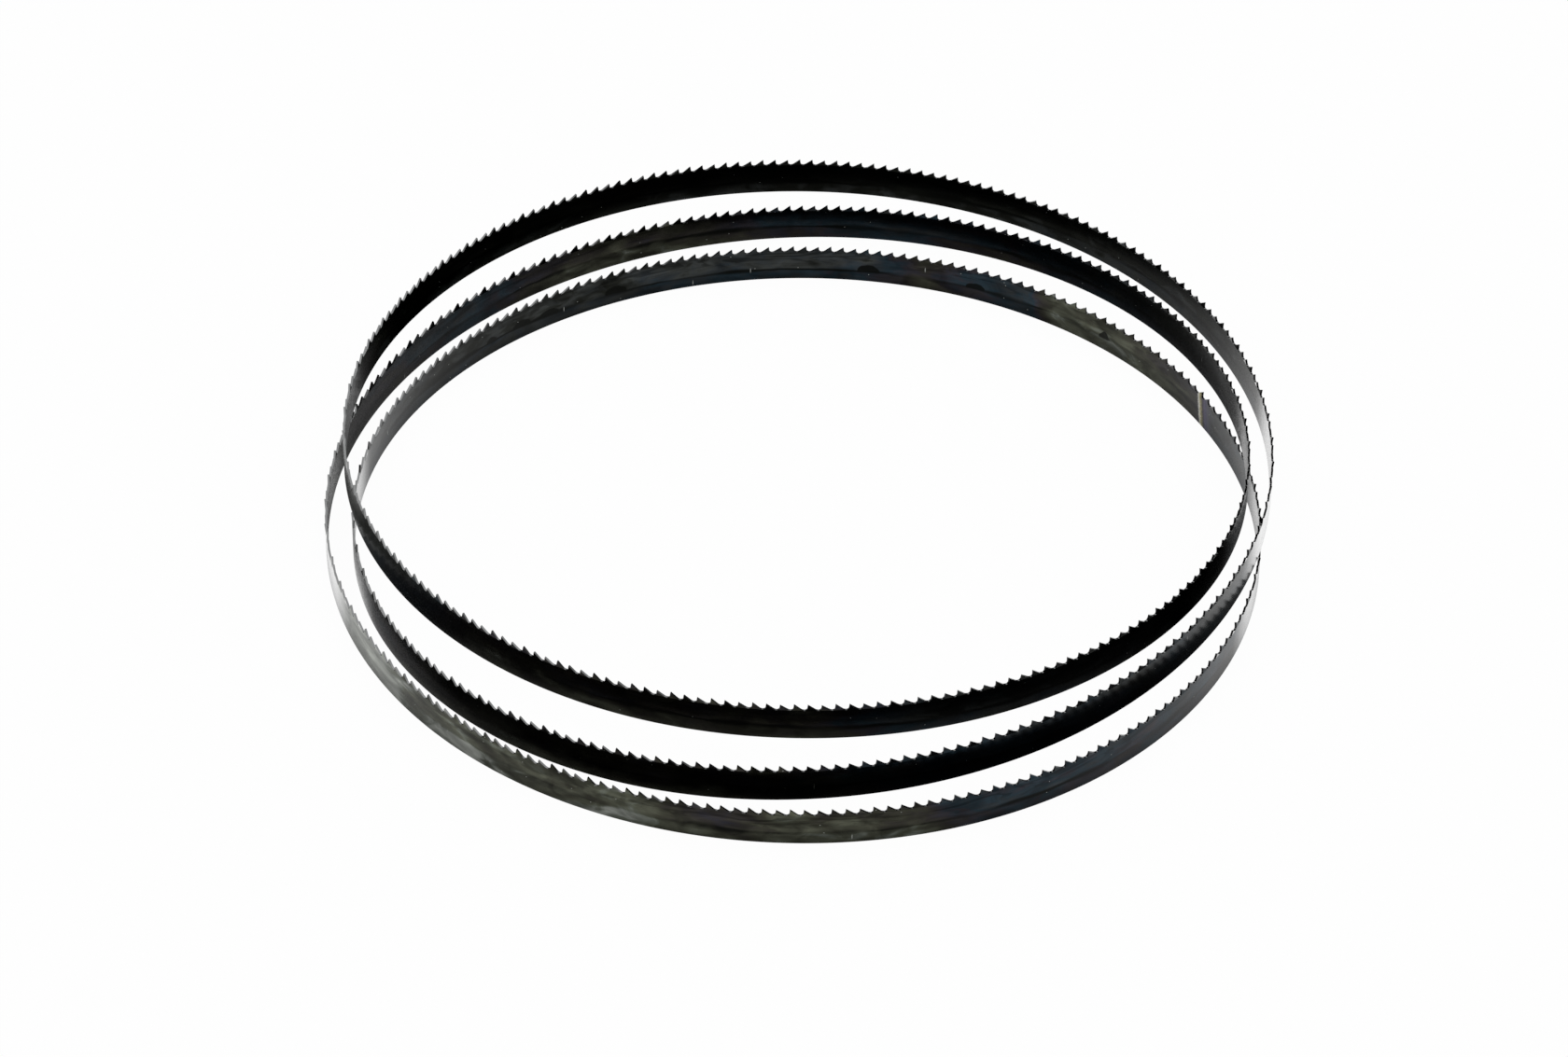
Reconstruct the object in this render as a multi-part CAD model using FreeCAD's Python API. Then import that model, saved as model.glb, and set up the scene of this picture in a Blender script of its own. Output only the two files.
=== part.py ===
import FreeCAD, Part
import math
import os

# Band saw blade, a welded loop of toothed steel band coiled into three turns as it is stored.
# Millimetres. X points right, Y to the back and Z up. The coil lies on the band's plain back edge,
# teeth up. The origin is on that resting plane, under the middle of the coil.

# The band and its number of teeth
inch = 25.4
teeth_per_inch = 6
band_width = 13.0
band_thickness = 0.65
set_groups = 219

# One tooth, measured from its tip: forward along the cut, and down from the tips
tooth_depth = 1.95
gullet_forward = 0.95
rake_foot_forward = 0.15
rake_foot_down = 1.2
heel_forward = 2.0
heel_down = 1.6
tooth_set = 0.28

# The plan of the coil: every turn is nearly round, and its centre drifts as the band goes on.
# Angles run clockwise from the back, through all the turns. The teeth are counted from the first fold.
turns = 3
first_fold_angle = 432.3
drift_deep = 18.1
drift_wide = 4.9
drift_angle = 34.5
size_swing = 0.9
size_angle = 18.0
oval_swing = 0.8
oval_angle = -103.0
sway_swing = 1.1
sway_angle = 10.0

# The rise of the coil: the lowest turn lies flat, and the others climb over it
rise_swing = 8.9
rise_angle = 29.0
tilt_swing = 2.6
tilt_angle = -125.0
slow_roll_swing = 1.1
slow_roll_angle = 131.0
fast_roll_swing = 0.7
fast_roll_angle = -116.0
ripple_swing = 0.4
ripple_angle = 118.0
crossing_gap = 0.4

# A group is one tooth set outwards, one left straight and one set inwards
group_sets = (tooth_set, 0.0, -tooth_set)
group_teeth = len(group_sets)
tooth_pitch = inch / teeth_per_inch
group_length = group_teeth * tooth_pitch
blade_length = set_groups * group_length

# Steps of one degree are short enough to measure along the path, and its length settles in a few tries
steps_per_turn = 360
path_steps = turns * steps_per_turn
length_tries = 4


def wave(swing, angle, shift):
    """One wave round the coil. The angle is in radians and its shift in degrees."""
    return swing * math.cos(angle + math.radians(shift))


def radius_at(angle, mean_radius):
    """Distance of the band from the axis. The angle runs on through all the turns."""
    lap = angle / turns
    drift = lap + math.radians(drift_angle)
    return (
        mean_radius
        + drift_deep * math.cos(drift) * math.cos(angle)
        + drift_wide * math.sin(drift) * math.sin(angle)
        + wave(size_swing, lap, size_angle)
        + wave(oval_swing, 2 * angle, oval_angle)
        + wave(sway_swing, 2 * angle - lap, sway_angle)
    )


def rise_at(angle):
    """Height of the band's back edge, before it is levelled and spread to clear the crossings."""
    lap = angle / turns
    return (
        wave(rise_swing, lap, rise_angle)
        + wave(tilt_swing, angle, tilt_angle)
        + wave(slow_roll_swing, angle - lap, slow_roll_angle)
        + wave(fast_roll_swing, angle + lap, fast_roll_angle)
        + wave(ripple_swing, 2 * angle - lap, ripple_angle)
    )


def step_angle(step):
    """Angle of one of the short steps, counted from the first fold."""
    return math.radians(first_fold_angle) + 2 * math.pi * step / steps_per_turn


def tightest_crossing():
    """Smallest difference in rise where one turn of the band passes over another in plan."""
    differences = []
    for lower in range(turns):
        for upper in range(lower + 1, turns):
            apart = 2 * math.pi * (upper - lower)
            for step in range(lower * steps_per_turn, (lower + 1) * steps_per_turn):
                here = step_angle(step)
                there = step_angle(step + 1)
                before = radius_at(here, 0) - radius_at(here + apart, 0)
                after = radius_at(there, 0) - radius_at(there + apart, 0)
                if before * after < 0:
                    cross = here + (there - here) * before / (before - after)
                    differences.append(abs(rise_at(cross) - rise_at(cross + apart)))
    return min(differences)


def path_points(mean_radius, spread):
    """The back edge's centre line, clockwise from above, with its first point again at its end."""
    rises = [rise_at(step_angle(step)) for step in range(path_steps)]
    floor = min(rises)
    points = []
    for step in range(path_steps):
        angle = step_angle(step)
        radius = radius_at(angle, mean_radius)
        height = spread * (rises[step] - floor)
        points.append(FreeCAD.Vector(radius * math.sin(angle), radius * math.cos(angle), height))
    points.append(points[0])
    return points


def running_lengths(points):
    lengths = [0.0]
    for start, end in zip(points, points[1:]):
        lengths.append(lengths[-1] + start.distanceToPoint(end))
    return lengths


def closed_path():
    """The path whose length is the blade's own: the mean radius follows from the teeth."""
    spread = (band_width + crossing_gap) / tightest_crossing()
    mean_radius = blade_length / (2 * math.pi * turns)
    for attempt in range(length_tries):
        points = path_points(mean_radius, spread)
        lengths = running_lengths(points)
        mean_radius += (blade_length - lengths[-1]) / (2 * math.pi * turns)
    return points, lengths


def equal_steps(points, lengths, count):
    """Points at equal distances along the path, one for each group of teeth."""
    found = []
    index = 0
    for number in range(count):
        wanted = lengths[-1] * number / count
        while lengths[index + 1] < wanted:
            index += 1
        share = (wanted - lengths[index]) / (lengths[index + 1] - lengths[index])
        found.append(points[index] + (points[index + 1] - points[index]) * share)
    return found


def direction(start, end):
    """Unit vector from start to end, seen in plan."""
    along = FreeCAD.Vector(end.x - start.x, end.y - start.y, 0)
    return along.normalize()


def outward(along):
    """The left hand side of the band's run, which is the outside of the coil."""
    return FreeCAD.Vector(-along.y, along.x, 0)


def up(height):
    return FreeCAD.Vector(0, 0, height)


def face(*corners):
    return Part.Face(Part.makePolygon([*corners, corners[0]]))


class Fold:
    """An upright line, at the bottom of a gullet, where one flat of the band meets the next."""

    def __init__(self, before, here, after):
        normal_before = outward(direction(before, here))
        normal_after = outward(direction(here, after))
        mitre = (normal_before + normal_after).normalize()
        half = mitre * (band_thickness / 2 / mitre.dot(normal_after))
        root = up(band_width - tooth_depth)
        self.centre = here
        self.back_edge = (here + half, here - half)
        self.gullet = (here + half + root, here - half + root)


class Flat:
    """One flat of the band, with one group of teeth, from fold to fold."""

    def __init__(self, start, end):
        self.start = start
        self.end = end
        run = end.centre - start.centre
        self.along = direction(start.centre, end.centre)
        self.length = math.hypot(run.x, run.y)
        self.climb = run.z
        self.pitch = self.length / group_teeth

    def pair(self, forward, height, sideways=0.0):
        """The outer and the inner point of the band at one place of the tooth line."""
        side = outward(self.along)
        lift = up(height + self.climb * forward / self.length)
        middle = self.start.centre + self.along * forward + side * sideways + lift
        half = side * (band_thickness / 2)
        return middle + half, middle - half

    def tooth(self, number):
        """Heel, tip and rake foot of one tooth, each as an outer and an inner point."""
        tip = (number + 1) * self.pitch - gullet_forward
        heel = self.pair(tip - self.pitch + heel_forward, band_width - heel_down)
        point = self.pair(tip, band_width, group_sets[number])
        foot = self.pair(tip + rake_foot_forward, band_width - rake_foot_down)
        return heel, point, foot

    def gullet(self, number):
        """Bottom of the gullet in front of a tooth. The last one is on the fold."""
        if number == group_teeth - 1:
            return self.end.gullet
        return self.pair((number + 1) * self.pitch, band_width - tooth_depth)

    def tooth_line_faces(self):
        """The faces across the band's thickness, along the teeth."""
        line = [self.start.gullet]
        for number in range(group_teeth):
            line.extend(self.tooth(number))
            line.append(self.gullet(number))
        faces = []
        for (out_a, in_a), (out_b, in_b) in zip(line[1:-1], line[2:-1]):
            faces.append(face(out_a, in_a, in_b, out_b))
        # beside a fold the four corners aren't in one plane
        for (out_a, in_a), (out_b, in_b) in (line[:2], line[-2:]):
            faces.append(face(out_a, in_a, in_b))
            faces.append(face(out_a, in_b, out_b))
        return faces

    def side_faces(self, side):
        """One side of the band, with the teeth that are set bent out of its plane."""
        rim = [self.start.gullet[side]]
        faces = []
        for number in range(group_teeth):
            heel, point, foot = (pair[side] for pair in self.tooth(number))
            if group_sets[number] == 0:
                rim.extend([heel, point, foot])
            else:
                rim.extend([heel, foot])
                faces.append(face(heel, point, foot))
            rim.append(self.gullet(number)[side])
        faces.append(face(*rim, self.end.back_edge[side], self.start.back_edge[side]))
        return faces

    def back_faces(self):
        out_a, in_a = self.start.back_edge
        out_b, in_b = self.end.back_edge
        return [face(out_a, in_a, in_b), face(out_a, in_b, out_b)]

    def faces(self):
        return self.tooth_line_faces() + self.side_faces(0) + self.side_faces(1) + self.back_faces()


def make_blade():
    points, lengths = closed_path()
    centres = equal_steps(points, lengths, set_groups)
    folds = []
    for number, here in enumerate(centres):
        before = centres[number - 1]
        after = centres[(number + 1) % set_groups]
        folds.append(Fold(before, here, after))
    faces = []
    for number, start in enumerate(folds):
        end = folds[(number + 1) % set_groups]
        faces.extend(Flat(start, end).faces())
    shell = Part.makeShell(faces)
    shell.sewShape()
    blade = Part.makeSolid(shell)
    if blade.Volume < 0:
        blade.reverse()
    box = blade.BoundBox
    blade.translate(FreeCAD.Vector(-box.Center.x, -box.Center.y, -box.ZMin))
    return blade


os.makedirs("parts", exist_ok=True)
blade = make_blade()
blade.exportStep("parts/blade.step")
box = blade.BoundBox
print("band length", round(blade_length, 1), "teeth", set_groups * group_teeth)
print("valid", blade.isValid(), "closed", blade.isClosed(), "faces", len(blade.Faces))
print("size", round(box.XLength, 2), round(box.YLength, 2), round(box.ZLength, 2))
print("volume", round(blade.Volume, 1))
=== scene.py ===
# %% [markdown]
# # A band saw blade, coiled for storage
#
# A band saw blade is an endless loop of spring steel with teeth along one edge. Off the saw it is
# folded into three turns and laid on its plain back edge. The steel is black from its heat treatment,
# so almost all that the eye sees is what the band mirrors: the white table, and the turns beside it.
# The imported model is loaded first, because the new blade has to lie exactly where that one lies.

# %% The measured model
import math

import bpy
import numpy as np
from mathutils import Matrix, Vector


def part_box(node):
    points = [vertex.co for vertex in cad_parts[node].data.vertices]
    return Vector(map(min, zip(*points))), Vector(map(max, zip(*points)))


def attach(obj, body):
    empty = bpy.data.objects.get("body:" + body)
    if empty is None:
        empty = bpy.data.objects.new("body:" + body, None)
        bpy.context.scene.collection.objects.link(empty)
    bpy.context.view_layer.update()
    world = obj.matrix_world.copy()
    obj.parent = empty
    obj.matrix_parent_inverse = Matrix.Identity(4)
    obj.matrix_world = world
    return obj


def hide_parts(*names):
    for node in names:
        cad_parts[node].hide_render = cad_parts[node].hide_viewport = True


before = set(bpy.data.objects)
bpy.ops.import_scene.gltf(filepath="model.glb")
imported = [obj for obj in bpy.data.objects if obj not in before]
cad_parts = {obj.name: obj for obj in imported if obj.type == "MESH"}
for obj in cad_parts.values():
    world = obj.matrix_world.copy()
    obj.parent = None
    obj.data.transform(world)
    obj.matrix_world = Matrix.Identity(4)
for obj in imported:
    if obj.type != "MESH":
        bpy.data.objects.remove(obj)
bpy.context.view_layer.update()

MM = 0.001
cad_low, cad_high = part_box("blade")
cad_middle = (cad_low + cad_high) / 2
print("the model is", [round(side / MM, 1) for side in cad_high - cad_low], "mm")

# %% [markdown]
# ## The camera
#
# The coil is seen from well above and from far away: the near and far turns are drawn almost to one
# scale. So the camera has a long lens and stands nearly two metres off. It could be placed by eye, but
# here it is set by what a photographer would set: the point aimed at, the distance, the elevation, the
# lens, and the small roll that tips the picture to its right.

# %% Camera
AIM = (-4.9 * MM, -9.4 * MM, 0.0)
CAMERA_DISTANCE = 1.8845
CAMERA_ELEVATION = math.radians(38.6)
CAMERA_ROLL = math.radians(1.02)
LENS_MM = 133.8
SENSOR_MM = 36.0
FAR_CLIP = 20.0


def make_camera():
    """The camera stands in front of the coil, and looks along +Y and down."""
    data = bpy.data.cameras.new("camera")
    data.lens = LENS_MM
    data.sensor_width = SENSOR_MM
    data.clip_end = FAR_CLIP
    camera = bpy.data.objects.new("camera", data)
    bpy.context.scene.collection.objects.link(camera)
    camera.location = (
        AIM[0],
        AIM[1] - CAMERA_DISTANCE * math.cos(CAMERA_ELEVATION),
        AIM[2] + CAMERA_DISTANCE * math.sin(CAMERA_ELEVATION),
    )
    camera.rotation_mode = "ZXY"
    camera.rotation_euler = (math.pi / 2 - CAMERA_ELEVATION, 0.0, CAMERA_ROLL)
    bpy.context.scene.camera = camera
    return camera


camera = make_camera()
print("the camera stands at", [round(place, 3) for place in camera.location])

# %% [markdown]
# ## One small helper for every material
#
# Each material is a net of nodes. Writing the same lines for every node would hide what the net does,
# so one function adds a node with its settings and inputs, and with its stops where it is a colour
# ramp. Colours are written as sRGB hex values, as a colour picker shows them, and one function turns
# them into the linear values of the renderer.

# %% Helpers for nodes and colours
# The colour sockets of a Mix node go by number, because their names come more than once on it
MIX_A = 6
MIX_B = 7
MIX_RESULT = 2


def add_node(tree, kind, inputs=None, stops=(), **settings):
    """Adds one node. An input that is another node's output is linked, and any other is a value."""
    made = tree.nodes.new(kind)
    for name, setting in settings.items():
        setattr(made, name, setting)
    for socket, source in (inputs or {}).items():
        if isinstance(source, bpy.types.NodeSocket):
            tree.links.new(source, made.inputs[socket])
        else:
            made.inputs[socket].default_value = source
    if stops:
        elements = made.color_ramp.elements
        while len(elements) < len(stops):
            elements.new(1.0)
        for element, (place, colour) in zip(elements, stops):
            element.position = place
            element.color = colour
    return made


def linear(hex_colour):
    """An sRGB hex colour as linear red, green, blue and alpha."""
    channels = []
    for start in (1, 3, 5):
        level = int(hex_colour[start:start + 2], 16) / 255
        channels.append(level / 12.92 if level <= 0.04045 else ((level + 0.055) / 1.055) ** 2.4)
    return (*channels, 1.0)


def empty_tree(owner):
    """The owner's node tree, with nothing in it."""
    owner.use_nodes = True
    owner.node_tree.nodes.clear()
    return owner.node_tree


print("mid grey is", [round(level, 3) for level in linear("#808080")])

# %% [markdown]
# ## The studio
#
# A dark metal mirrors what stands around it, so it has to have something white around it, or it shows
# as a hole. Here that is one large white table, and over it a broad soft ceiling light in a dark grey
# room. The camera sees the table as almost plain white: a small share of it is matt in real light, and
# keeps the blade's soft shadow. The reflections see the same white, but with painted shade: an Ambient
# Occlusion node dims it where the turns of the coil close the table in, as the floor of such a narrow
# gap would be in the shade. A backdrop picture would do for one view only, and this table is right
# from every side.

# %% The white table
TABLE_SIZE = 8.0
TABLE_WHITE = "#f4f4f4"
WHITE = "#ffffff"
SEEN_PLAIN = 0.97
SHADE_REACH = 0.06
SHADE_SAMPLES = 8
# Painted shade: how open the table is, by Ambient Occlusion, sets how brightly it glows in the reflections
GAP_SHADE = {"From Min": 0.22, "From Max": 0.76, "To Min": 0.03, "To Max": 0.97}


def table_paint():
    """Matt white laminate: even and white, without gloss, and just dark enough to carry a shadow. What the
    reflections see glows, with painted shade in the coil's gaps.
    """
    material = bpy.data.materials.new("matt_white_laminate")
    tree = empty_tree(material)
    rays = add_node(tree, "ShaderNodeLightPath")
    mirrored = add_node(
        tree, "ShaderNodeMath", {0: rays.outputs["Is Glossy Ray"], 1: rays.outputs["Is Transmission Ray"]},
        operation="MAXIMUM",
    )
    share = add_node(
        tree, "ShaderNodeMath", {0: rays.outputs["Is Camera Ray"], 1: SEEN_PLAIN, 2: mirrored.outputs[0]},
        operation="MULTIPLY_ADD",
    )
    openness = add_node(
        tree, "ShaderNodeAmbientOcclusion", {"Distance": SHADE_REACH}, samples=SHADE_SAMPLES
    )
    # painted shade: the glow that the reflections see is dimmed where the turns close the table in
    painted_gap_shade = add_node(
        tree, "ShaderNodeMapRange", {"Value": openness.outputs["AO"], **GAP_SHADE},
        interpolation_type="SMOOTHSTEP",
    )
    strength = add_node(
        tree, "ShaderNodeMath", {0: painted_gap_shade.outputs[0], 1: rays.outputs["Is Camera Ray"]},
        operation="MAXIMUM",
    )
    matt = add_node(tree, "ShaderNodeBsdfDiffuse", {"Color": linear(TABLE_WHITE)})
    plain = add_node(
        tree, "ShaderNodeEmission", {"Color": linear(WHITE), "Strength": strength.outputs[0]}
    )
    both = add_node(
        tree, "ShaderNodeMixShader", {0: share.outputs[0], 1: matt.outputs[0], 2: plain.outputs[0]}
    )
    add_node(tree, "ShaderNodeOutputMaterial", {"Surface": both.outputs[0]})
    return material


def make_table():
    bpy.ops.object.select_all(action="DESELECT")
    bpy.ops.mesh.primitive_plane_add(size=TABLE_SIZE)
    table = bpy.context.object
    table.name = "table"
    table.data.materials.append(table_paint())


make_table()
print("the table is", TABLE_SIZE, "m wide")

# %% The room and its light
WALL_GREY = "#2c2c2c"
CEILING = {"From Min": 0.45, "From Max": 0.85}

# Only matt surfaces get the stronger light, and the table is the only one: the steel mirrors a plain 1
MATT_LIGHT = {"To Min": 1.0, "To Max": 2.0}


def light_room():
    """A white ceiling light over dark grey walls. The camera itself sees white all round."""
    world = bpy.data.worlds.new("soft_ceiling")
    bpy.context.scene.world = world
    tree = empty_tree(world)
    rays = add_node(tree, "ShaderNodeLightPath")
    place = add_node(tree, "ShaderNodeTexCoord")
    height = add_node(tree, "ShaderNodeSeparateXYZ", {0: place.outputs["Generated"]})
    upward = add_node(
        tree, "ShaderNodeMapRange", {"Value": height.outputs["Z"], **CEILING},
        interpolation_type="SMOOTHSTEP",
    )
    white = add_node(
        tree, "ShaderNodeMath", {0: upward.outputs[0], 1: rays.outputs["Is Camera Ray"]},
        operation="MAXIMUM",
    )
    colour = add_node(
        tree, "ShaderNodeMix",
        {0: white.outputs[0], MIX_A: linear(WALL_GREY), MIX_B: linear(WHITE)},
        data_type="RGBA",
    )
    strength = add_node(
        tree, "ShaderNodeMapRange", {"Value": rays.outputs["Is Diffuse Ray"], **MATT_LIGHT}
    )
    room = add_node(
        tree, "ShaderNodeBackground",
        {"Color": colour.outputs[MIX_RESULT], "Strength": strength.outputs[0]},
    )
    add_node(tree, "ShaderNodeOutputWorld", {"Surface": room.outputs[0]})


light_room()
bpy.context.scene.view_settings.view_transform = "Standard"
print("the room is", bpy.context.scene.world.name)

# %% [markdown]
# ## The path of the band
#
# The loop goes round three times before it meets itself. Each turn is nearly a circle, but its centre
# drifts, so the turns spread apart at the front and at the back and cross at the sides. The path is
# written as a mean radius plus a few slow waves, with the angle counted clockwise from the back. A
# second set of waves gives the rise: the lowest turn lies on the table and the others climb over it.
# The mean radius isn't chosen: it follows from the length of the band, which is its number of teeth
# times their pitch.

# %% Path
INCH = 25.4 * MM
TEETH_PER_INCH = 6
BAND_WIDTH = 13.0 * MM
BAND_THICKNESS = 0.65 * MM
GROUPS = 219
GROUP_TEETH = 3
PITCH = INCH / TEETH_PER_INCH
GROUP_LENGTH = GROUP_TEETH * PITCH
BLADE_LENGTH = GROUPS * GROUP_LENGTH

TURNS = 3
FIRST_ANGLE = math.radians(432.3)
STEPS_PER_TURN = 1440
CROSSING_GAP = 0.4 * MM
LENGTH_TRIES = 4

# How far the turns' centre drifts to the front and back and to the sides, in mm, and from which angle
DRIFT_DEEP = 18.1
DRIFT_WIDE = 4.9
DRIFT_START = 34.5

# Each wave: its swing in mm, how often it swings in a turn, how often more in the whole loop, and its
# shift in degrees
RADIUS_WAVES = (
    (0.9, 0, 1, 18.0),
    (0.8, 2, 0, -103.0),
    (1.1, 2, -1, 10.0),
)
RISE_WAVES = (
    (8.9, 0, 1, 29.0),
    (2.6, 1, 0, -125.0),
    (1.1, 1, -1, 131.0),
    (0.7, 1, 1, -116.0),
    (0.4, 2, -1, 118.0),
)
angles = FIRST_ANGLE + np.linspace(0.0, 2 * math.pi * TURNS, TURNS * STEPS_PER_TURN + 1)
laps = angles / TURNS


def add_waves(waves):
    """The sum of the waves at every step of the path, in metres."""
    return sum(
        swing * MM * np.cos(in_turn * angles + in_loop * laps + math.radians(shift))
        for swing, in_turn, in_loop, shift in waves
    )


drift = laps + math.radians(DRIFT_START)
radius_waves = (
    DRIFT_DEEP * MM * np.cos(drift) * np.cos(angles)
    + DRIFT_WIDE * MM * np.sin(drift) * np.sin(angles)
    + add_waves(RADIUS_WAVES)
)
rise = add_waves(RISE_WAVES)
print("the path has", len(angles), "points")

# %% Length and rise of the path


def tightest_crossing():
    """Smallest difference in rise where one turn passes over another."""
    found = []
    for turns_apart in range(1, TURNS):
        ahead = turns_apart * STEPS_PER_TURN
        sideways = radius_waves[:-1] - np.roll(radius_waves[:-1], -ahead)
        upward = rise[:-1] - np.roll(rise[:-1], -ahead)
        for here in np.flatnonzero(sideways * np.roll(sideways, -1) < 0):
            share = sideways[here] / (sideways[here] - np.roll(sideways, -1)[here])
            found.append(abs(upward[here] + share * (np.roll(upward, -1)[here] - upward[here])))
    return min(found)


rise = (rise - rise.min()) * (BAND_WIDTH + CROSSING_GAP) / tightest_crossing()
mean_radius = BLADE_LENGTH / (2 * math.pi * TURNS)
for attempt in range(LENGTH_TRIES):
    radius = mean_radius + radius_waves
    plan = np.stack([radius * np.sin(angles), radius * np.cos(angles)], axis=1)
    run = np.concatenate([[0.0], np.cumsum(np.linalg.norm(np.diff(plan, axis=0), axis=1))])
    mean_radius += (BLADE_LENGTH - run[-1]) / (2 * math.pi * TURNS)
print("the loop is", round(run[-1], 4), "m long and its mean radius is", round(mean_radius / MM, 2), "mm")

# %% [markdown]
# ## One tooth
#
# The teeth are milled into the strip while it is flat, with a cutter that leaves a round gullet. In
# Blender the tooth can be made flat as well, as a sheet with no thickness: its outline is drawn point
# by point by extruding one vertex, and the whole line is then extruded down and flattened on to the
# back edge. That gives a row of upright columns, which will bend cleanly round the coil. A tooth that
# is cut out of a block with a Boolean would need all those columns cut in afterwards.

# %% Outline of a tooth
TOOTH_DEPTH = 1.95 * MM
GULLET_FORWARD = 0.95 * MM
RAKE_FOOT_FORWARD = 0.15 * MM
RAKE_FOOT_DOWN = 1.2 * MM
BACK_ARC_RADIUS = 1.85 * MM
BACK_ARC_LENGTH = 1.05 * MM
BACK_ARC_STEPS = 3
FRONT_ARC_STEPS = 4


def tooth_outline():
    """Points (forward, up) from the bottom of one gullet, over the tip, to the bottom of the next."""
    gullet = BAND_WIDTH - TOOTH_DEPTH
    points = []
    last_turn = math.asin(BACK_ARC_LENGTH / BACK_ARC_RADIUS)
    for step in range(BACK_ARC_STEPS + 1):
        turn = last_turn * step / BACK_ARC_STEPS
        points.append((BACK_ARC_RADIUS * math.sin(turn), gullet + BACK_ARC_RADIUS * (1 - math.cos(turn))))
    points.append((PITCH - GULLET_FORWARD, BAND_WIDTH))
    arc_length = GULLET_FORWARD - RAKE_FOOT_FORWARD
    arc_depth = TOOTH_DEPTH - RAKE_FOOT_DOWN
    for step in range(FRONT_ARC_STEPS + 1):
        turn = math.pi / 2 * step / FRONT_ARC_STEPS
        forward = PITCH - arc_length * math.cos(turn)
        points.append((forward, BAND_WIDTH - RAKE_FOOT_DOWN - arc_depth * math.sin(turn)))
    return points


outline = tooth_outline()
print("a tooth has", len(outline), "outline points")

# %% Draw the sheet
CLOSE = 0.001 * MM


def start_edit(piece):
    """Only this piece is selected, in edit mode, with nothing in it selected."""
    if bpy.context.mode != "OBJECT":
        bpy.ops.object.mode_set(mode="OBJECT")
    bpy.ops.object.select_all(action="DESELECT")
    piece.select_set(True)
    bpy.context.view_layer.objects.active = piece
    bpy.ops.object.mode_set(mode="EDIT")
    bpy.ops.mesh.select_all(action="DESELECT")


def select_where(piece, kind, wanted):
    """Selects, in edit mode, the vertices, edges or faces that pass the test."""
    bpy.ops.mesh.select_mode(type=kind)
    bpy.ops.mesh.select_all(action="DESELECT")
    bpy.ops.object.mode_set(mode="OBJECT")
    parts = {"VERT": piece.data.vertices, "EDGE": piece.data.edges, "FACE": piece.data.polygons}
    for part in parts[kind]:
        part.select = wanted(part)
    bpy.ops.object.mode_set(mode="EDIT")


def draw_tooth_sheet():
    """The tooth line, extruded point by point from one vertex, and pulled down to the back edge."""
    bpy.ops.object.select_all(action="DESELECT")
    bpy.ops.mesh.primitive_plane_add(size=MM)
    sheet = bpy.context.object
    sheet.name = "blade_band"
    start_edit(sheet)
    bpy.ops.mesh.select_all(action="SELECT")
    bpy.ops.mesh.merge(type="CENTER")
    bpy.ops.transform.translate(value=(outline[0][0], 0.0, outline[0][1]))
    for before, after in zip(outline, outline[1:]):
        step = (after[0] - before[0], 0.0, after[1] - before[1])
        bpy.ops.mesh.extrude_vertices_move(TRANSFORM_OT_translate={"value": step})
    bpy.ops.mesh.select_all(action="SELECT")
    bpy.ops.mesh.extrude_edges_move(TRANSFORM_OT_translate={"value": (0.0, 0.0, -BAND_WIDTH)})
    bpy.ops.transform.resize(value=(1.0, 1.0, 0.0), center_override=(0.0, 0.0, 0.0))
    bpy.ops.object.mode_set(mode="OBJECT")
    return sheet


blade = draw_tooth_sheet()
print("the flat tooth has", len(blade.data.polygons), "columns")

# %% [markdown]
# ## Thickness, edges and finishes of the strip
#
# One straight cut goes across the sheet with Bisect, at the line where a tooth will be bent. Then the
# sheet gets its thickness. The bend line is marked sharp, so the bend's soft shading doesn't run down
# the plain part of the band. The long edges of the back are rounded a little, as the mill leaves them,
# so that they don't cut the saw's wheels. The end faces go, because the next tooth joins there. Last,
# every face gets its finish by the way it looks: to a side, down, forward along the cut, or elsewhere.

# %% Thickness and edges
BEND_HEIGHT = BAND_WIDTH - 1.87 * MM
BACK_ROUNDING = 0.08 * MM


def apply_modifier(piece, modifier):
    bpy.context.view_layer.objects.active = piece
    bpy.ops.object.modifier_apply(modifier=modifier.name)


def cut_across(piece, height):
    start_edit(piece)
    bpy.ops.mesh.select_all(action="SELECT")
    bpy.ops.mesh.bisect(plane_co=(0.0, 0.0, height), plane_no=(0.0, 0.0, 1.0), threshold=CLOSE)
    bpy.ops.object.mode_set(mode="OBJECT")


def thicken(piece):
    """Gives the sheet its thickness, half to each side, and opens its two ends again."""
    solid = piece.modifiers.new("thickness", "SOLIDIFY")
    solid.thickness = BAND_THICKNESS
    solid.offset = 0.0
    apply_modifier(piece, solid)
    start_edit(piece)
    select_where(piece, "FACE", lambda face: not CLOSE < face.center.x < PITCH - CLOSE)
    bpy.ops.mesh.delete(type="FACE")
    bpy.ops.object.mode_set(mode="OBJECT")


def runs_along(piece, height):
    """A test for the edges that run along the band at one height."""

    def test(edge):
        start, end = (piece.data.vertices[index].co for index in edge.vertices)
        level = abs(start.z - height) < CLOSE and abs(end.z - height) < CLOSE
        return level and abs(start.y - end.y) < CLOSE

    return test


def crease_bend_line(piece):
    """The press that sets the teeth leaves a sharp line, so shading doesn't run across it."""
    start_edit(piece)
    select_where(piece, "EDGE", runs_along(piece, BEND_HEIGHT))
    bpy.ops.mesh.mark_sharp()
    bpy.ops.object.mode_set(mode="OBJECT")


def round_back_edges(piece):
    start_edit(piece)
    select_where(piece, "EDGE", runs_along(piece, 0.0))
    bpy.ops.mesh.bevel(offset=BACK_ROUNDING, segments=1, affect="EDGES")
    bpy.ops.object.mode_set(mode="OBJECT")


cut_across(blade, BEND_HEIGHT)
thicken(blade)
crease_bend_line(blade)
round_back_edges(blade)
print("the thick tooth has", len(blade.data.polygons), "faces")

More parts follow.
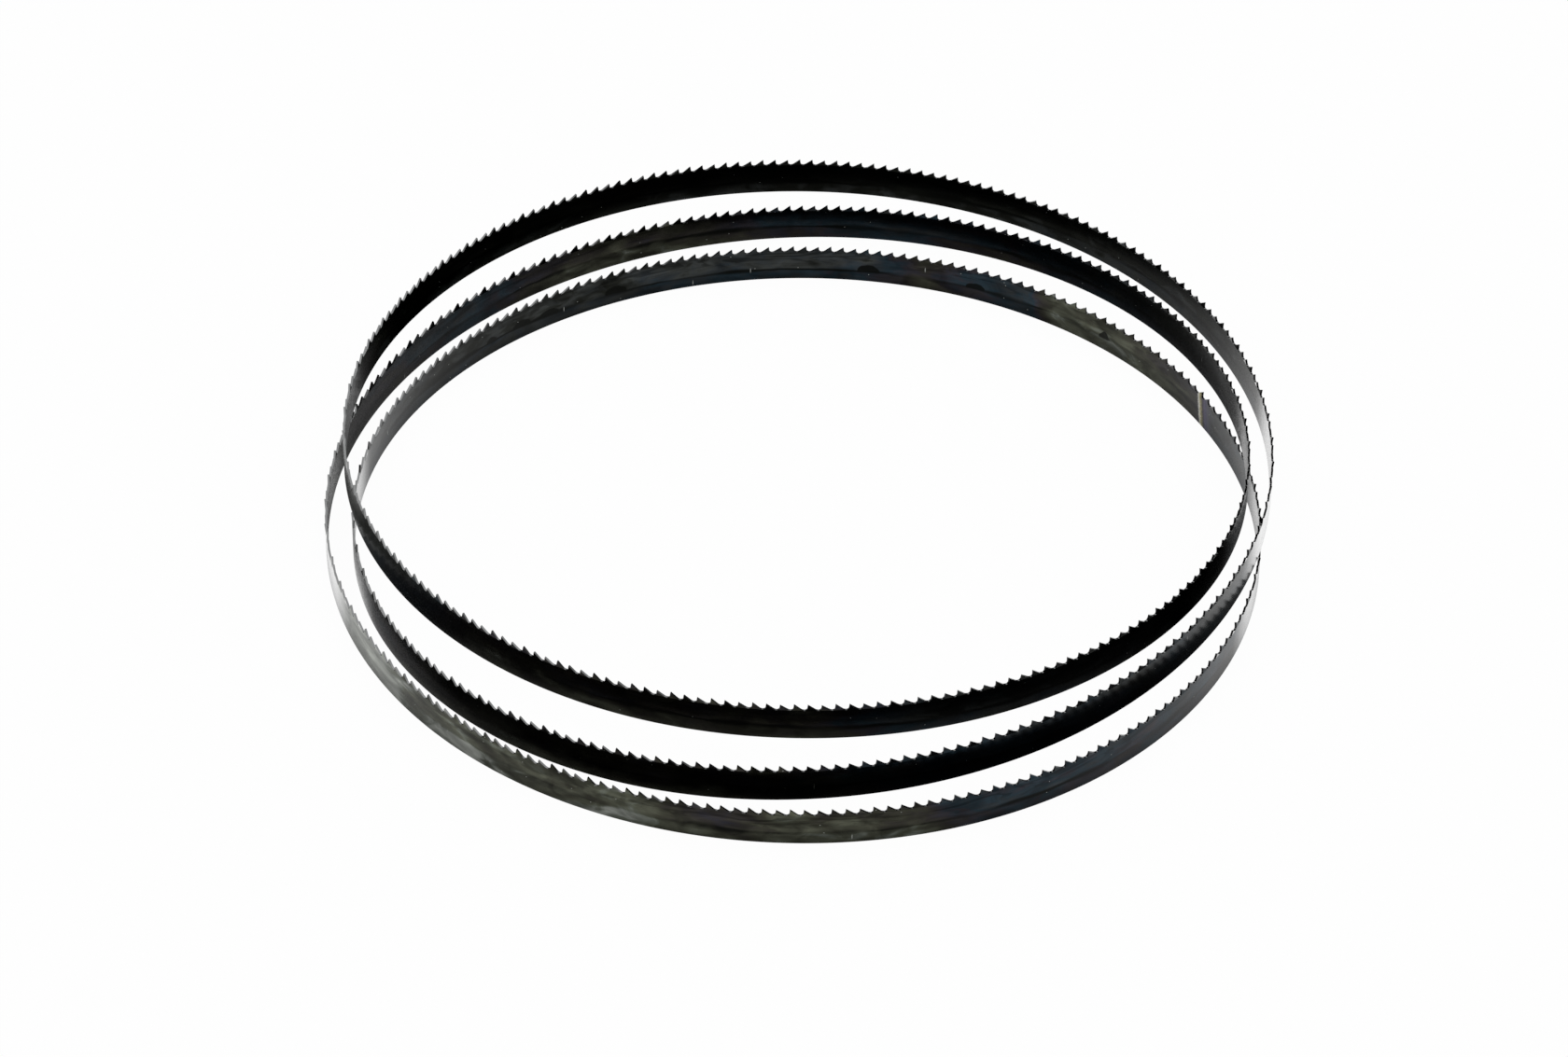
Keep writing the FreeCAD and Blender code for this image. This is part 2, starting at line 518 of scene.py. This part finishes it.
# %% Finish of each face
SIDE, TOOTH_BACK, RAKE_FACE, BACK_EDGE = range(4)
FINISHES = (
    "rolled_blued_spring_steel",
    "ground_bare_spring_steel",
    "milled_black_spring_steel",
    "rubbed_blued_spring_steel",
)
FACES_SIDEWAYS = 0.9
FACES_DOWN = -0.3
FACES_FORWARD = 0.5


def mark_finishes(piece):
    """Gives each face the number of its finish, by the way it looks."""
    for name in FINISHES:
        piece.data.materials.append(bpy.data.materials.new(name))
    for polygon in piece.data.polygons:
        normal = polygon.normal
        if abs(normal.y) > FACES_SIDEWAYS:
            polygon.material_index = SIDE
        elif normal.z < FACES_DOWN:
            polygon.material_index = BACK_EDGE
        elif normal.x > FACES_FORWARD:
            polygon.material_index = RAKE_FACE
        else:
            polygon.material_index = TOOTH_BACK


mark_finishes(blade)
print("faces of each finish:", np.bincount([polygon.material_index for polygon in blade.data.polygons]))

# %% [markdown]
# ## Setting the teeth, and repeating them
#
# A saw would jam in its own cut if all its teeth were in line, so two of each three are bent: one
# outwards, one left straight, one inwards. This is raker set. Three teeth make a group, so the tooth
# is repeated three times, the outer two are turned about the bend line, and the group is repeated for
# the whole length. The Array modifier shifts the UV map along for every copy, so the map says how far
# along the band, and how far up its side, a point is. The patterns of the steel follow that map.

# %% Raker group and full length
TOOTH_SET = 0.28 * MM
NEAR_TIP = 0.1 * MM
SET_ANGLE = math.asin(TOOTH_SET / (BAND_WIDTH - BEND_HEIGHT))


def repeat(piece, count, length):
    row = piece.modifiers.new("row", "ARRAY")
    row.count = count
    row.use_relative_offset = False
    row.use_constant_offset = True
    row.constant_offset_displace = (length, 0.0, 0.0)
    row.offset_u = length
    row.use_merge_vertices = True
    row.merge_threshold = CLOSE
    apply_modifier(piece, row)


def bend_tooth(piece, number, angle):
    """Turns what stands above the bend line of one tooth. Outwards is +Y on the flat band."""
    start_edit(piece)
    rear = number * PITCH
    front = rear + PITCH
    select_where(
        piece, "VERT", lambda vertex: vertex.co.z > BEND_HEIGHT + CLOSE and rear < vertex.co.x < front
    )
    bpy.ops.transform.rotate(
        value=angle, orient_axis="X", orient_type="GLOBAL", center_override=(0.0, 0.0, BEND_HEIGHT)
    )
    bpy.ops.object.mode_set(mode="OBJECT")


def lay_map(piece):
    """The UV map of the flat band: metres along it and metres up from its back edge."""
    band_map = piece.data.uv_layers.active or piece.data.uv_layers.new(name="band")
    band_map.name = "band"
    for loop in piece.data.loops:
        place = piece.data.vertices[loop.vertex_index].co
        band_map.data[loop.index].uv = (place.x, place.z)


lay_map(blade)
repeat(blade, GROUP_TEETH, PITCH)
bend_tooth(blade, 0, SET_ANGLE)
bend_tooth(blade, 2, -SET_ANGLE)
tips = [vertex.co.y / MM for vertex in blade.data.vertices if vertex.co.z > BAND_WIDTH - NEAR_TIP]
print("the tips stand at", [round(place, 2) for place in tips], "mm to the side")
repeat(blade, GROUPS, GROUP_LENGTH)
print("the flat band has", len(blade.data.vertices), "vertices")

# %% [markdown]
# ## Marks that follow the band
#
# The heat treatment leaves its own marks along the steel. The oxide is thin and pale in one place and
# thick and black in another, and its blackest stretches are also painted shade, on the turns that mirror
# the shaded gaps inside the coil. A dark line runs a third of the way up, where the band ran on a guide,
# with a few lens-shaped marks standing on it. All of that follows the band, so it is worked out now,
# while the band is flat and a point's X is its place along the blade, and stored as attributes.

# %% Attributes of the heat treatment
# The guide line rises and falls slowly along the blade. All of its lengths are in mm
LINE_HEIGHT = 4.5
LINE_WAVE = 0.6
LINE_WAVE_LENGTH = 290.0
LINE_HIGH_AT = 2745.0

# Each mark: its place along the blade, half its length, and its height over the line, all in mm
MARKS = (
    (2493.0, 2.2, 1.9),
    (2506.7, 4.0, 2.7),
    (2518.3, 4.2, 2.0),
    (2544.1, 4.2, 2.7),
    (2632.5, 4.0, 2.7),
    (2670.5, 4.0, 2.1),
    (2721.0, 2.2, 2.6),
)

# Places along the blade in mm, and how thick the film is there: from 0 down it is bare, from 1 up black.
# The blackest stretches are also painted shade, for the turns that mirror the shaded gaps inside the coil
FILM_AND_SHADE_ALONG = (
    (0.0, 0.88), (50.0, 0.76), (110.0, 0.66), (240.0, 0.64), (252.0, 0.32), (268.0, 0.32),
    (285.0, 0.34), (330.0, 0.34), (345.0, 0.24), (425.0, 0.19), (440.0, 0.0), (455.0, -0.2),
    (525.0, -0.1), (560.0, 0.4), (640.0, 0.78), (690.0, 0.32), (730.0, 0.38), (800.0, 0.78),
    (838.0, 0.5), (880.0, 0.8), (1000.0, 1.1), (1080.0, 1.1), (1170.0, 0.94), (1210.0, 0.44),
    (1320.0, 0.42), (1370.0, 0.9), (1440.0, 1.1), (1600.0, 1.15), (1760.0, 1.05), (1800.0, 0.98),
    (1860.0, 0.98), (2000.0, 0.85), (2130.0, 0.75), (2180.0, 0.42), (2300.0, 0.42), (2330.0, 0.6),
    (2400.0, 0.9), (2480.0, 0.94), (2560.0, 0.92), (2630.0, 0.82), (2652.0, 0.42), (2668.0, 0.6),
    (2690.0, 0.8), (2700.0, 0.2), (2730.0, 0.2), (2745.0, 0.3), (2768.0, 0.4), (2774.0, 0.8),
    (2782.0, 0.88),
)


def add_attribute(piece, name, values):
    layer = piece.data.attributes.new(name, "FLOAT", "POINT")
    layer.data.foreach_set("value", values.astype(np.float32))


def mark_heat_treatment(piece):
    """Height over the dark line and height of the marks on it, in mm, and how thick the oxide is, with
    painted shade where it is blackest.
    """
    flat = np.array([vertex.co for vertex in piece.data.vertices]) / MM
    along, up = flat[:, 0], flat[:, 2]
    line = LINE_HEIGHT + LINE_WAVE * np.cos(2 * math.pi * (along - LINE_HIGH_AT) / LINE_WAVE_LENGTH)
    marks = np.zeros(len(along))
    for centre, half_length, height in MARKS:
        inside = np.clip(1.0 - ((along - centre) / half_length) ** 2, 0.0, 1.0)
        marks = np.maximum(marks, height * np.sqrt(inside))
    places, levels = zip(*FILM_AND_SHADE_ALONG)
    add_attribute(piece, "over_line", up - line)
    add_attribute(piece, "mark_height", marks)
    # the film's thickness, which is also painted shade where it is blackest
    add_attribute(piece, "film", np.interp(along, places, levels))


mark_heat_treatment(blade)
print("attributes:", [layer.name for layer in blade.data.attributes if layer.domain == "POINT"])

# %% [markdown]
# ## Rolling up the band
#
# The flat band is lifted first. Every vertex gets a weight that says how much of the highest rise it
# takes, and a Displace modifier lifts it by that much. Then a Curve modifier lays the band along the
# path in plan. Upright lines stay upright this way, as they do on the real band, which is bent only
# sideways. The two ends meet where the path closes, and merging them makes one endless band. Last, all
# its faces are turned outwards, and only bends of less than 30 degrees are shaded softly.

# %% Lift, wrap and close
JOIN_REACH = 0.01 * MM


def lift(piece):
    """Every upright column of vertices takes its share of the highest rise."""
    highest = rise.max()
    group = piece.vertex_groups.new(name="rise")
    columns = {}
    for vertex in piece.data.vertices:
        columns.setdefault(round(vertex.co.x / CLOSE), []).append(vertex.index)
    for place, members in columns.items():
        height = np.interp(place * CLOSE, run, rise)
        group.add(members, height / highest, "REPLACE")
    raised = piece.modifiers.new("rise", "DISPLACE")
    raised.direction = "Z"
    raised.vertex_group = group.name
    raised.strength = highest
    raised.mid_level = 0.0
    apply_modifier(piece, raised)
    piece.vertex_groups.clear()


def plan_curve():
    """The path in plan, as a closed curve that keeps the band upright."""
    data = bpy.data.curves.new("path", "CURVE")
    data.dimensions = "3D"
    data.twist_mode = "Z_UP"
    spline = data.splines.new("POLY")
    spline.points.add(len(plan) - 2)
    for point, (right, back) in zip(spline.points, plan[:-1]):
        point.co = (right, back, 0.0, 1.0)
    spline.use_cyclic_u = True
    path = bpy.data.objects.new("path", data)
    bpy.context.scene.collection.objects.link(path)
    return path


def wrap(piece):
    """Bends the flat band, which runs along X, round the path."""
    path = plan_curve()
    bend = piece.modifiers.new("coil", "CURVE")
    bend.object = path
    bend.deform_axis = "POS_X"
    apply_modifier(piece, bend)
    bpy.data.objects.remove(path)


def close_and_place(piece):
    """Joins the two ends and puts the coil's middle over the middle of the measured model."""
    start_edit(piece)
    bpy.ops.mesh.select_all(action="SELECT")
    bpy.ops.mesh.remove_doubles(threshold=JOIN_REACH)
    bpy.ops.object.mode_set(mode="OBJECT")
    places = np.array([vertex.co for vertex in piece.data.vertices])
    middle = (places.min(axis=0) + places.max(axis=0)) / 2
    start_edit(piece)
    bpy.ops.mesh.select_all(action="SELECT")
    bpy.ops.transform.translate(
        value=(cad_middle.x - middle[0], cad_middle.y - middle[1], cad_low.z - places[:, 2].min())
    )
    bpy.ops.object.mode_set(mode="OBJECT")


lift(blade)
wrap(blade)
close_and_place(blade)
euler_number = len(blade.data.vertices) - len(blade.data.edges) + len(blade.data.polygons)
print("vertices less edges plus faces, 0 for a closed ring:", euler_number)

# %% Shading
SOFT_ANGLE = math.radians(30.0)
start_edit(blade)
bpy.ops.mesh.select_all(action="SELECT")
bpy.ops.mesh.normals_make_consistent(inside=False)
bpy.ops.object.mode_set(mode="OBJECT")
bpy.ops.object.shade_smooth_by_angle(angle=SOFT_ANGLE)
print("the blade has", sum(len(polygon.vertices) - 2 for polygon in blade.data.polygons), "triangles")

# %% [markdown]
# ## Blued spring steel
#
# The band is hardened spring steel. The heat treatment leaves a film of oxide on it that swallows most
# of the light, but the surface under it is rolled smooth and mirrors what is left. So the material is
# a metal with a very dark colour, and not a black paint: where the band stands in front of the white
# table it looks dark grey, and where it faces another turn it looks black. The colour follows from the
# thickness of the film, as on any tempered steel: pale, straw, brown, violet, blue, grey and black.

# %% Thickness of the film
FILM_COLOURS = (
    (0.0, "#90938d"),
    (0.1, "#5c6058"),
    (0.16, "#4a4c41"),
    (0.3, "#34342c"),
    (0.44, "#2d2b29"),
    (0.54, "#2c2b30"),
    (0.66, "#212d34"),
    (0.78, "#2a2e31"),
    (0.9, "#2f3130"),
    (1.0, "#1b1c19"),
)

# Each pattern of blots: their length along the band and their height in mm, and how ragged they are
CLOUDS = {"size_mm": (30.0, 9.0), "distortion": 0.8}
CLOUD_EDGES = {"size_mm": (9.0, 4.5), "detail": 4.0, "distortion": 0.6}
CLOUD_STRENGTH = 0.5
EDGE_STRENGTH = 0.4
NOISE_MEAN = 0.5
BELOW_THINNER = -0.12
THIN_FILM = {"From Min": 0.4, "From Max": 0.05}
DENSE_FILM = {"From Min": 0.95, "From Max": 1.1}


def cell_scale(size_mm):
    """The scale at which one cell of a pattern is so many mm long and so many mm high."""
    length_mm, height_mm = size_mm
    return (1 / (length_mm * MM), 1 / (height_mm * MM), 1.0)


def blots(tree, band, size_mm, detail=2.0, distortion=0.0):
    """Soft blots of about this size, spread over the band's own map."""
    scaled = add_node(tree, "ShaderNodeMapping", {"Vector": band, "Scale": cell_scale(size_mm)})
    pattern = add_node(
        tree, "ShaderNodeTexNoise",
        {"Vector": scaled.outputs[0], "Scale": 1.0, "Detail": detail, "Distortion": distortion},
        noise_dimensions="2D",
    )
    return pattern.outputs["Fac"]


def film_colour(tree, band, below):
    """The oxide's colour, and where it is thin and dense. Clouds vary the thickness that is stored."""
    thickness = add_node(tree, "ShaderNodeAttribute", attribute_name="film").outputs["Fac"]
    dense = add_node(tree, "ShaderNodeMapRange", {"Value": thickness, **DENSE_FILM})
    for part, strength in (
        (blots(tree, band, **CLOUDS), CLOUD_STRENGTH),
        (blots(tree, band, **CLOUD_EDGES), EDGE_STRENGTH),
        (-NOISE_MEAN, CLOUD_STRENGTH + EDGE_STRENGTH),
        (below, BELOW_THINNER),
    ):
        thickness = add_node(
            tree, "ShaderNodeMath", {0: part, 1: strength, 2: thickness}, operation="MULTIPLY_ADD"
        ).outputs[0]
    thin = add_node(tree, "ShaderNodeMapRange", {"Value": thickness, **THIN_FILM})
    stops = [(place, linear(colour)) for place, colour in FILM_COLOURS]
    ramp = add_node(tree, "ShaderNodeValToRGB", {0: thickness}, stops=stops)
    return ramp.outputs["Color"], thin.outputs[0], dense.outputs[0]


print("the film's colours go from", FILM_COLOURS[0][1], "where it is bare to", FILM_COLOURS[-1][1])

# %% [markdown]
# ## Patches, rolling lines and darker parts
#
# Within one colour the film is still uneven. There are soft patches, fine lines from the rolling, which
# run along the band, and darker patches under the teeth. Each of them is a noise with its own size in
# millimetres, and one that is much longer than high gives the lines. The side is also darker below the
# guide line. They are multiplied into one factor, so that the film keeps its colour and only its
# brightness changes.

# %% Brightness of the film
NOISE_RANGE = {"From Min": 0.3, "From Max": 0.7}
PATCHES = {"size_mm": (13.0, 5.0), "detail": 3.0, "distortion": 0.6}
PATCH_LEVELS = {"To Min": 0.62, "To Max": 1.38}

# the real rolling lines are less than 0.1 mm wide and wouldn't show, so these are coarser
ROLLING_LINES = {"size_mm": (22.0, 0.5), "distortion": 0.6}
ROLLING_LEVELS = {"To Min": 0.93, "To Max": 1.07}
# Dark patches under the teeth: a noise cut into soft-edged patches, which darken the side most near the
# teeth
DARK_PATCHES = {"size_mm": (22.0, 3.2), "detail": 4.0, "distortion": 1.5}
DARK_PATCH_EDGE = {"From Min": 0.5, "From Max": 0.54}
UNDER_TEETH_MM = {"From Min": 1.5, "From Max": 4.0, "To Max": 0.4}
# How much darker the side is below the guide line
BELOW_DARKER = 0.36


def film_brightness(tree, band, over, below):
    """Patches, rolling lines, dark patches under the teeth and a darker part below the guide line, as one
    factor on the film's colour.
    """
    parts = [
        add_node(
            tree, "ShaderNodeMapRange", {"Value": blots(tree, band, **pattern), **NOISE_RANGE, **levels}
        )
        for pattern, levels in ((PATCHES, PATCH_LEVELS), (ROLLING_LINES, ROLLING_LEVELS))
    ]
    dark_patches = add_node(tree, "ShaderNodeMapRange", {"Value": blots(tree, band, **DARK_PATCHES), **DARK_PATCH_EDGE})
    under_teeth = add_node(tree, "ShaderNodeMapRange", {"Value": over, **UNDER_TEETH_MM})
    for part, depth in ((dark_patches.outputs[0], under_teeth.outputs[0]), (below, BELOW_DARKER)):
        taken = add_node(tree, "ShaderNodeMath", {0: part, 1: depth}, operation="MULTIPLY")
        parts.append(add_node(tree, "ShaderNodeMath", {0: 1.0, 1: taken.outputs[0]}, operation="SUBTRACT"))
    factor = parts[0].outputs[0]
    for part in parts[1:]:
        factor = add_node(
            tree, "ShaderNodeMath", {0: factor, 1: part.outputs[0]}, operation="MULTIPLY"
        ).outputs[0]
    return factor


print("patches take the film from", PATCH_LEVELS["To Min"], "to", PATCH_LEVELS["To Max"], "of its colour")

# %% [markdown]
# ## The guide line and its marks
#
# In the furnace the band runs on a guide, which leaves a nearly black line along its sides, broken and
# of changing width, with a few lens-shaped marks standing on it. A painted picture would have to be
# huge for nearly three metres of band. The height over the line is stored on the band already, so the
# line is where that height is about 0, and a mark is where it is less than the height of the mark.

# %% The guide line and its marks
LINE_BLACK = "#0c0d0b"
LINE_WOBBLE = {"size_mm": (12.0, 5.0), "detail": 4.0}
WOBBLE_MM = 1.2
COVER_BLOTS = {"size_mm": (40.0, 30.0)}
LINE_COVER = {"From Min": 0.38, "From Max": 0.55, "To Min": 0.3, "To Max": 0.95}
WIDTH_BLOTS = {"size_mm": (30.0, 40.0), "detail": 1.0}
HALF_WIDTH_MM = {"From Min": 0.4, "From Max": 0.7, "To Min": 0.5, "To Max": 1.8}
LINE_FADE = {"From Min": 1.0, "From Max": 0.3}
MARK_TOP_MM = {"From Min": 0.2, "From Max": -0.15}
MARK_FOOT_MM = {"From Min": -0.7, "From Max": -0.2}
MARK_TALL_MM = {"From Min": 0.2, "From Max": 0.9, "To Max": 0.92}


def height_over_line(tree, band):
    """Millimetres over the guide line, which wobbles a little."""
    stored = add_node(tree, "ShaderNodeAttribute", attribute_name="over_line")
    moved = add_node(
        tree, "ShaderNodeMath",
        {0: blots(tree, band, **LINE_WOBBLE), 1: WOBBLE_MM, 2: stored.outputs["Fac"]},
        operation="MULTIPLY_ADD",
    )
    centred = add_node(
        tree, "ShaderNodeMath", {0: moved.outputs[0], 1: NOISE_MEAN * WOBBLE_MM}, operation="SUBTRACT"
    )
    return centred.outputs[0]


def line_and_marks(tree, band, over, thin):
    """How much of the film the guide line and its marks cover. On thin film there is no line."""
    cover = add_node(tree, "ShaderNodeMapRange", {"Value": blots(tree, band, **COVER_BLOTS), **LINE_COVER})
    half_width = add_node(
        tree, "ShaderNodeMapRange", {"Value": blots(tree, band, **WIDTH_BLOTS), **HALF_WIDTH_MM}
    )
    away = add_node(tree, "ShaderNodeMath", {0: over}, operation="ABSOLUTE")
    share = add_node(
        tree, "ShaderNodeMath", {0: away.outputs[0], 1: half_width.outputs[0]}, operation="DIVIDE"
    )
    near = add_node(tree, "ShaderNodeMapRange", {"Value": share.outputs[0], **LINE_FADE})
    kept = add_node(tree, "ShaderNodeMath", {0: 1.0, 1: thin}, operation="SUBTRACT")
    height = add_node(tree, "ShaderNodeAttribute", attribute_name="mark_height").outputs["Fac"]
    below_top = add_node(tree, "ShaderNodeMath", {0: over, 1: height}, operation="SUBTRACT")
    mark_parts = [
        add_node(tree, "ShaderNodeMapRange", {"Value": value, **limits})
        for value, limits in (
            (below_top.outputs[0], MARK_TOP_MM), (over, MARK_FOOT_MM), (height, MARK_TALL_MM)
        )
    ]
    covers = []
    for first, *others in ((near, cover, kept), mark_parts):
        for other in others:
            first = add_node(
                tree, "ShaderNodeMath", {0: first.outputs[0], 1: other.outputs[0]}, operation="MULTIPLY"
            )
        covers.append(first.outputs[0])
    return add_node(tree, "ShaderNodeMath", {0: covers[0], 1: covers[1]}, operation="MAXIMUM").outputs[0]


print("the line is", 2 * HALF_WIDTH_MM["To Min"], "to", 2 * HALF_WIDTH_MM["To Max"], "mm wide")

# %% [markdown]
# ## The weld
#
# The loop is closed by a weld that is ground flush. Grinding leaves a bright patch, and the heat beside
# it leaves the colours of tempering, straw, violet and blue, one after the other along the band. They
# could be stored on the mesh, but its columns are too far apart for such fine stripes. So a colour ramp
# is laid over 13 mm of the map, and noise makes the edges of its stripes ragged, as grinding does.

# %% The weld
# All lengths of the weld are in mm. Its slant is how far it leans along the band for each mm of height
WELD_START = 2770.0
WELD_LENGTH = 13.0
WELD_SLANT = 0.2
WELD_GRIT = {"size_mm": (1.2, 0.5), "detail": 4.0}
WELD_RAGGED = 2.2

# Each stop: its place on the weld in mm, its colour, and how much of the film it covers
WELD_COLOURS = (
    (1.3, "#2b2e30", 0.0),
    (1.6, "#93938c", 0.9),
    (2.2, "#b6b5ab", 1.0),
    (2.8, "#948f78", 1.0),
    (3.2, "#7c744c", 0.9),
    (4.0, "#5a5542", 0.8),
    (4.4, "#0c0c0e", 0.95),
    (5.0, "#33293f", 0.9),
    (6.0, "#46435a", 0.8),
    (6.8, "#35324a", 0.8),
    (7.9, "#484554", 0.6),
    (8.8, "#383640", 0.5),
    (11.5, "#2f3038", 0.0),
)


def weld_tint(tree, band):
    """Colour and cover of the ground weld, and of the straw and violet that its heat has left."""
    places = add_node(tree, "ShaderNodeSeparateXYZ", {0: band})
    lean = add_node(
        tree, "ShaderNodeMath", {0: places.outputs[1], 1: WELD_SLANT, 2: places.outputs[0]},
        operation="MULTIPLY_ADD",
    )
    ragged = add_node(
        tree, "ShaderNodeMath",
        {0: blots(tree, band, **WELD_GRIT), 1: WELD_RAGGED * MM, 2: lean.outputs[0]},
        operation="MULTIPLY_ADD",
    )
    begin = WELD_START * MM + WELD_SLANT * BAND_WIDTH / 2
    share = add_node(
        tree, "ShaderNodeMapRange",
        {"Value": ragged.outputs[0], "From Min": begin, "From Max": begin + WELD_LENGTH * MM},
    )
    stops = [(place / WELD_LENGTH, (*linear(colour)[:3], cover)) for place, colour, cover in WELD_COLOURS]
    ramp = add_node(tree, "ShaderNodeValToRGB", {0: share.outputs[0]}, stops=stops)
    return ramp.outputs["Color"], ramp.outputs["Alpha"]


print("the weld begins", WELD_START, "mm along the blade and has", len(WELD_COLOURS), "stops")

# %% [markdown]
# ## Specks and scratches
#
# Handling wears through the film in small places: round specks, and short scratches across the band,
# where its turns rub. Drawing each one would be tedious. Voronoi cells give spots at random places: a
# cell has a known size in millimetres, its centre is somewhere in it, and its random colour says whether
# it has a spot at all. In cells that are much higher than long, a spot becomes a scratch.

# %% Specks and scratches
BARE_STEEL = "#9b9e9a"
SPOT_CORE = 0.4

# Each kind of spot: its cell in mm, its radius in cells, and the share of the cells that have one
SPECKS = ((8.0, 5.0), 0.03, 0.25)
SCRATCHES = ((4.0, 30.0), 0.04, 0.06)


def bare_spots(tree, band):
    """Where the film is worn through to the steel."""
    spots = []
    for size_mm, radius, chance in (SPECKS, SCRATCHES):
        scaled = add_node(tree, "ShaderNodeMapping", {"Vector": band, "Scale": cell_scale(size_mm)})
        cells = add_node(
            tree, "ShaderNodeTexVoronoi", {"Vector": scaled.outputs[0], "Scale": 1.0},
            voronoi_dimensions="2D",
        )
        number = add_node(tree, "ShaderNodeSeparateColor", {"Color": cells.outputs["Color"]})
        chosen = add_node(tree, "ShaderNodeMath", {0: number.outputs[0], 1: chance}, operation="LESS_THAN")
        spot = add_node(
            tree, "ShaderNodeMapRange",
            {"Value": cells.outputs["Distance"], "From Min": radius, "From Max": SPOT_CORE * radius},
        )
        shown = add_node(
            tree, "ShaderNodeMath", {0: spot.outputs[0], 1: chosen.outputs[0]}, operation="MULTIPLY"
        )
        spots.append(shown.outputs[0])
    return add_node(tree, "ShaderNodeMath", {0: spots[0], 1: spots[1]}, operation="MAXIMUM").outputs[0]


print("one cell in", round(1 / SPECKS[2]), "has a speck, and one in", round(1 / SCRATCHES[2]), "a scratch")

# %% [markdown]
# ## The sides of the band
#
# Now the parts meet at one metal shader. The film's colour is the metal's colour, and the line, the
# weld and the bare spots are laid over it. The side is rolled, so it is smooth enough to mirror the next
# turn, and only where it is worn does it get duller. Every surface mirrors more as it is seen more
# aslant, and such a film does so early, which is why the far left and right of the coil look pale. So
# Layer Weight takes the metal's colour to white there. The densest film still swallows some of that
# light: its Specular Tint, which is the metal's colour at the most slanting view, is grey.

# %% Finish of the sides
BELOW_LINE_MM = {"From Min": 0.5, "From Max": -0.5}
MIRROR = {"From Min": 0.76, "From Max": 0.88}
DENSE_ASLANT = "#adadad"
ROUGHNESS = {"To Min": 0.19, "To Max": 0.3}


def blued_side():
    """Rolled spring steel under a dark oxide film: it mirrors little, but clearly, and more aslant."""
    tree = empty_tree(bpy.data.materials[FINISHES[SIDE]])
    band = add_node(tree, "ShaderNodeUVMap", uv_map="band").outputs[0]
    over = height_over_line(tree, band)
    below = add_node(tree, "ShaderNodeMapRange", {"Value": over, **BELOW_LINE_MM}).outputs[0]
    film, thin, dense = film_colour(tree, band, below)
    brightness = film_brightness(tree, band, over, below)
    film = add_node(
        tree, "ShaderNodeVectorMath", {0: film, "Scale": brightness}, operation="SCALE"
    ).outputs[0]
    bare = bare_spots(tree, band)
    weld, weld_cover = weld_tint(tree, band)
    aslant = add_node(tree, "ShaderNodeLayerWeight")
    mirror = add_node(
        tree, "ShaderNodeMapRange", {"Value": aslant.outputs["Facing"], **MIRROR},
        interpolation_type="SMOOTHSTEP",
    )
    for cover, colour in (
        (line_and_marks(tree, band, over, thin), linear(LINE_BLACK)),
        (weld_cover, weld),
        (bare, linear(BARE_STEEL)),
        (mirror.outputs[0], linear(WHITE)),
    ):
        film = add_node(
            tree, "ShaderNodeMix", {0: cover, MIX_A: film, MIX_B: colour}, data_type="RGBA"
        ).outputs[MIX_RESULT]
    tint = add_node(
        tree, "ShaderNodeMix", {0: dense, MIX_A: linear(WHITE), MIX_B: linear(DENSE_ASLANT)},
        data_type="RGBA",
    )
    worn = add_node(tree, "ShaderNodeMath", {0: thin, 1: bare}, operation="MAXIMUM")
    rough = add_node(tree, "ShaderNodeMapRange", {"Value": worn.outputs[0], **ROUGHNESS})
    surface = add_node(
        tree, "ShaderNodeBsdfPrincipled",
        {
            "Base Color": film, "Roughness": rough.outputs[0], "Metallic": 1.0,
            "Specular Tint": tint.outputs[MIX_RESULT],
        },
    )
    add_node(tree, "ShaderNodeOutputMaterial", {"Surface": surface.outputs[0]})
    return tree


print("the net of the sides has", len(blued_side().nodes), "nodes")

# %% [markdown]
# ## The narrow faces
#
# The faces across the band's thickness are too narrow to show a pattern, so each is one plain metal.
# They still make the tooth line: the backs of the teeth are ground after the heat treatment and are the
# only bright metal on the blade, while their fronts are almost black and the back edge keeps its oxide.

# %% Finish of the narrow faces
# Each face: its finish, colour and roughness
NARROW_FACES = (
    # ground bare steel: fairly smooth, so every tooth shows a short bright line as the ceiling lights it
    (TOOTH_BACK, "#8c8d8d", 0.18),
    # milled: rough and almost black, darker than the film, so that every tooth has a dark front
    (RAKE_FACE, "#0d0d0e", 0.4),
    # the strip's rolled edge, blued and rubbed by what it lies on: a dull dark grey
    (BACK_EDGE, "#202224", 0.4),
)


def plain_metals():
    """Gives each of the narrow faces its colour and its gloss."""
    for finish, colour, roughness in NARROW_FACES:
        tree = empty_tree(bpy.data.materials[FINISHES[finish]])
        surface = add_node(
            tree, "ShaderNodeBsdfPrincipled",
            {"Base Color": linear(colour), "Metallic": 1.0, "Roughness": roughness},
        )
        add_node(tree, "ShaderNodeOutputMaterial", {"Surface": surface.outputs[0]})


plain_metals()
print("the narrow faces are", [FINISHES[finish] for finish, colour, roughness in NARROW_FACES])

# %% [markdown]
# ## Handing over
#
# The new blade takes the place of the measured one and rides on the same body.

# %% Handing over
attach(blade, "root")
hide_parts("blade")
